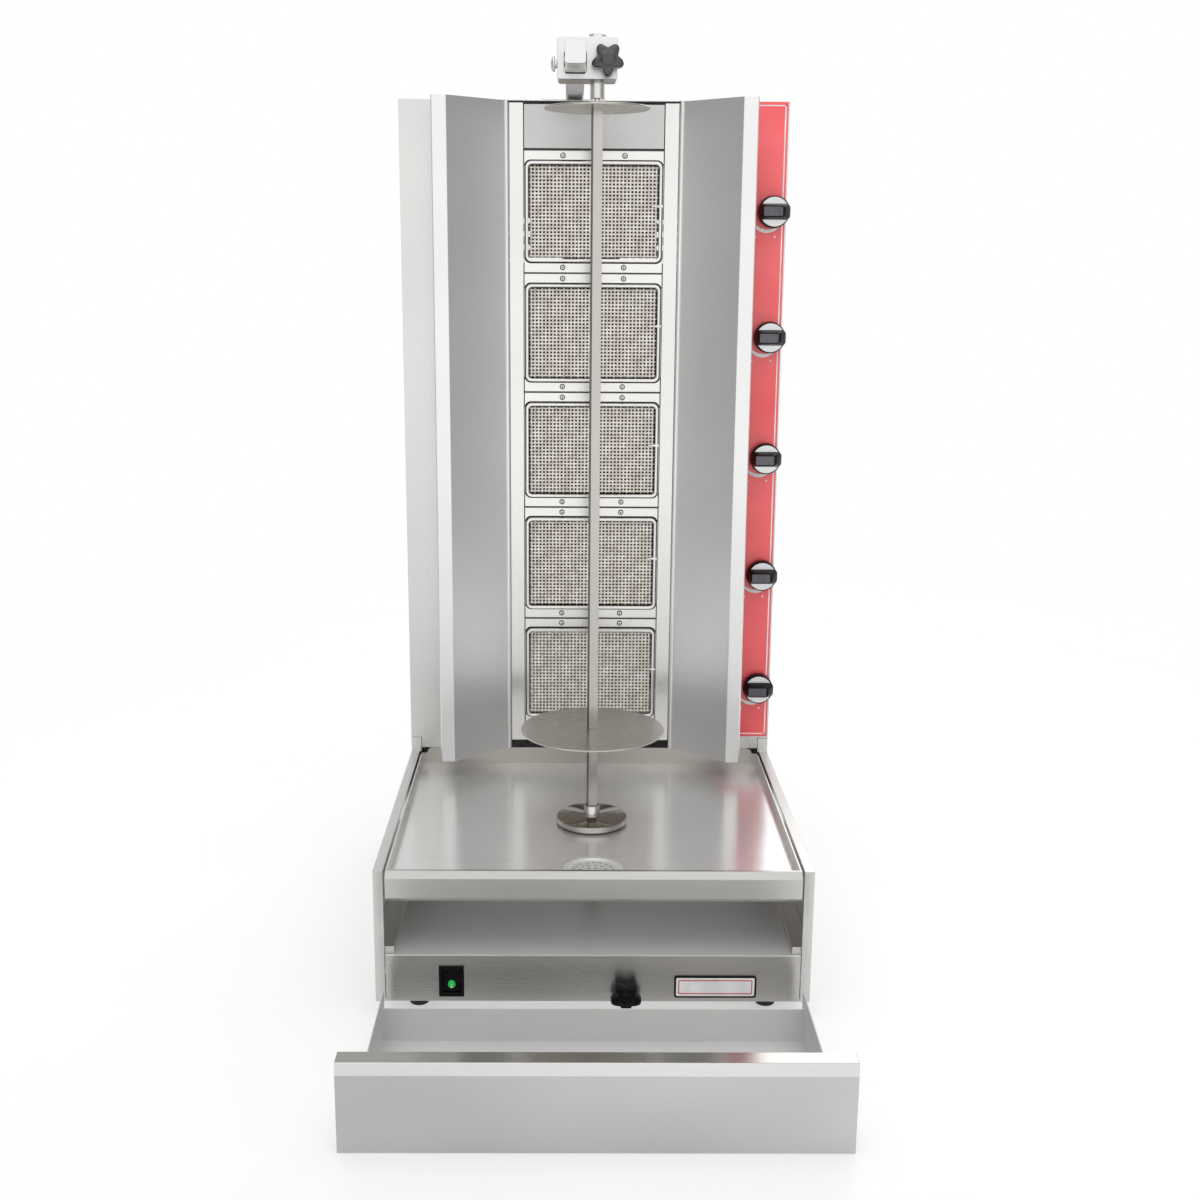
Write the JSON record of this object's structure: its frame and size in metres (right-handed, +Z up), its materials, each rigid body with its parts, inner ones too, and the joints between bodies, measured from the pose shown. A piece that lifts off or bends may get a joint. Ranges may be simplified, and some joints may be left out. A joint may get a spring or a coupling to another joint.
{
  "type": "vertical rotisserie broiler",
  "caption": "Upright gas broiler that roasts a vertical spit of meat before a column of mesh burners, with hinged heat shields, drip tray and pull-out grease drawer.",
  "frame": {"origin": "on the floor under the spit's axis, at the middle of the part's outline seen from above", "axes": "+Z up; +Y towards the tower and the back; -Y the operator's side; +X the operator's right"},
  "size_m": [0.55, 0.992, 1.19],
  "materials": {
    "panel_steel": "satin, fine brushed grain",
    "tray_steel": "bright, half mirror, long brush marks",
    "shield_steel": "matte grey inner face",
    "spit_steel": "satin ground",
    "polished_steel": "polished",
    "plain_steel": "plain mill finish",
    "red_paint": "glossy red with a thin white border",
    "black_plastic": "satin black",
    "foot_rubber": "matte black",
    "burner_metal": "heat stained, sandy ceramic face",
    "brass": "machined",
    "motor_paint": "grey enamel",
    "plate_silver": "satin plate, no text"
  },
  "bodies": {
    "frame": {"base_side_left": "panel_steel", "base_side_right": "panel_steel", "drawer_rail_left": "plain_steel", "drawer_rail_right": "plain_steel", "drip_tray": "tray_steel", "motor_housing": "panel_steel", "base_floor": "plain_steel", "foot_front_left": "foot_rubber", "foot_front_right": "foot_rubber", "foot_rear_left": "foot_rubber", "foot_rear_right": "foot_rubber", "switch_bezel": "black_plastic", "maker_plate": "plate_silver", "tower_side_left": "panel_steel", "tower_side_right": "panel_steel", "tower_top": "panel_steel", "rear_cover": "plain_steel", "cable_gland": "black_plastic", "header_panel": "panel_steel", "bay_frame": "tray_steel", "control_panel": "red_paint", "gas_manifold": "plain_steel", "support_arm": "panel_steel", "burner_frame_1": "tray_steel", "burner_body_1": "burner_metal", "gas_valve_1": "brass", "burner_frame_2": "tray_steel", "burner_body_2": "burner_metal", "gas_valve_2": "brass", "burner_frame_3": "tray_steel", "burner_body_3": "burner_metal", "gas_valve_3": "brass", "burner_frame_4": "tray_steel", "burner_body_4": "burner_metal", "gas_valve_4": "brass", "burner_frame_5": "tray_steel", "burner_body_5": "burner_metal", "gas_valve_5": "brass"},
    "motor_slide": {"motor_carriage": "plain_steel", "gear_motor": "motor_paint"},
    "spit": {"drive_plate": "polished_steel", "spit_rod": "spit_steel", "lower_disc": "spit_steel", "top_disc": "spit_steel"},
    "top_slide": {"top_carriage": "panel_steel"},
    "centre_pin": {"centre_pin": "spit_steel"},
    "carriage_knob": {"carriage_knob": "black_plastic"},
    "carriage_screw": {"carriage_screw": "spit_steel"},
    "base_knob": {"base_knob": "black_plastic"},
    "rocker": {"rocker": "black_plastic"},
    "shield_left": {"heat_shield_left": "shield_steel"},
    "shield_right": {"heat_shield_right": "shield_steel"},
    "strainer": {"drain_strainer": "tray_steel"},
    "drawer": {"drawer_pan": "panel_steel", "drawer_front": "panel_steel"},
    "gas_knob_1": {"gas_knob_1": "black_plastic"},
    "gas_knob_2": {"gas_knob_2": "black_plastic"},
    "gas_knob_3": {"gas_knob_3": "black_plastic"},
    "gas_knob_4": {"gas_knob_4": "black_plastic"},
    "gas_knob_5": {"gas_knob_5": "black_plastic"}
  },
  "joints": [
    {"name": "motor_carriage_slide", "type": "slide", "parent": "frame", "child": "motor_slide", "axis": [0, 1, 0], "range_m": [0, 0.035]},
    {"name": "top_carriage_slide", "type": "slide", "parent": "frame", "child": "top_slide", "axis": [0, 1, 0], "range_m": [0, 0.035]},
    {"name": "spit_spin", "type": "hinge", "parent": "motor_slide", "child": "spit", "pos_m": [0, 0, 0.2], "axis": [0, 0, 1], "continuous": true},
    {"name": "centre_pin_lift", "type": "slide", "parent": "top_slide", "child": "centre_pin", "axis": [0, 0, 1], "range_m": [0, 0.03]},
    {"name": "carriage_knob_turn", "type": "hinge", "parent": "top_slide", "child": "carriage_knob", "pos_m": [0.0115, -0.03, 1.1555], "axis": [0, -1, 0], "range_deg": [-180, 180]},
    {"name": "carriage_screw_turn", "type": "hinge", "parent": "top_slide", "child": "carriage_screw", "pos_m": [-0.0485, -0.0005, 1.1553], "axis": [-1, 0, 0], "range_deg": [-180, 180]},
    {"name": "base_knob_turn", "type": "hinge", "parent": "frame", "child": "base_knob", "pos_m": [0.0405, -0.2114, 0.0385], "axis": [0, -1, 0], "range_deg": [-180, 180]},
    {"name": "rocker_tilt", "type": "hinge", "parent": "frame", "child": "rocker", "pos_m": [-0.1755, -0.2039, 0.0517], "axis": [1, 0, 0], "range_deg": [0, 14]},
    {"name": "left_shield_swing", "type": "hinge", "parent": "frame", "child": "shield_left", "pos_m": [-0.1212, 0.2385, 0.67075], "axis": [0, 0, 1], "range_deg": [-10, 50]},
    {"name": "right_shield_swing", "type": "hinge", "parent": "frame", "child": "shield_right", "pos_m": [0.1212, 0.2385, 0.67075], "axis": [0, 0, -1], "range_deg": [-10, 50]},
    {"name": "strainer_lift", "type": "slide", "parent": "frame", "child": "strainer", "axis": [0, 0, 1], "range_m": [0, 0.06]},
    {"name": "drawer_lift", "type": "slide", "parent": "frame", "child": "drawer", "axis": [0, 0, 1], "range_m": [0, 0.0978]},
    {"name": "gas_knob_1_turn", "type": "hinge", "parent": "frame", "child": "gas_knob_1", "pos_m": [0.251, 0.239, 0.9912], "axis": [0, -1, 0], "range_deg": [0, 135]},
    {"name": "gas_knob_2_turn", "type": "hinge", "parent": "frame", "child": "gas_knob_2", "pos_m": [0.251, 0.239, 0.8187], "axis": [0, -1, 0], "range_deg": [0, 135]},
    {"name": "gas_knob_3_turn", "type": "hinge", "parent": "frame", "child": "gas_knob_3", "pos_m": [0.251, 0.239, 0.6462], "axis": [0, -1, 0], "range_deg": [0, 135]},
    {"name": "gas_knob_4_turn", "type": "hinge", "parent": "frame", "child": "gas_knob_4", "pos_m": [0.251, 0.239, 0.4737], "axis": [0, -1, 0], "range_deg": [0, 135]},
    {"name": "gas_knob_5_turn", "type": "hinge", "parent": "frame", "child": "gas_knob_5", "pos_m": [0.251, 0.239, 0.3012], "axis": [0, -1, 0], "range_deg": [0, 135]}
  ],
  "couplings": [
    {"joint": "top_carriage_slide", "follows": "motor_carriage_slide", "ratio": 1}
  ]
}
